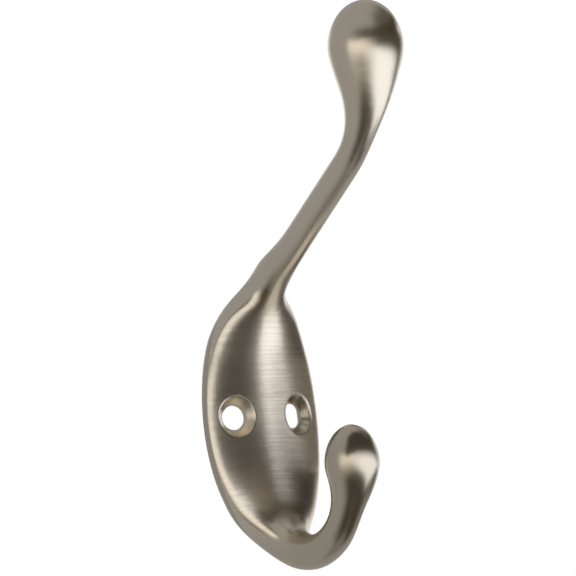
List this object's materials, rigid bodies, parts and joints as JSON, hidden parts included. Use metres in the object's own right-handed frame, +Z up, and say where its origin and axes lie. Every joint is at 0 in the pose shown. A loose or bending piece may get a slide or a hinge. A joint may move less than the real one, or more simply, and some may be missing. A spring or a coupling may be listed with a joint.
{
  "type": "coat hook",
  "caption": "One-piece double wall hook: a leaf-shaped screw plate carries a long upper arm and a curled lower arm, each ending in an egg-shaped knob, to hang hats and coats.",
  "frame": {"origin": "on the wall, midway between the two screw holes", "axes": "+Z up along the plate, +Y into the wall, +X across the plate"},
  "size_m": [0.0286, 0.0585, 0.1147],
  "materials": {
    "satin_nickel": "satin"
  },
  "bodies": {
    "root": {"coat_hook": "satin_nickel"}
  },
  "joints": []
}
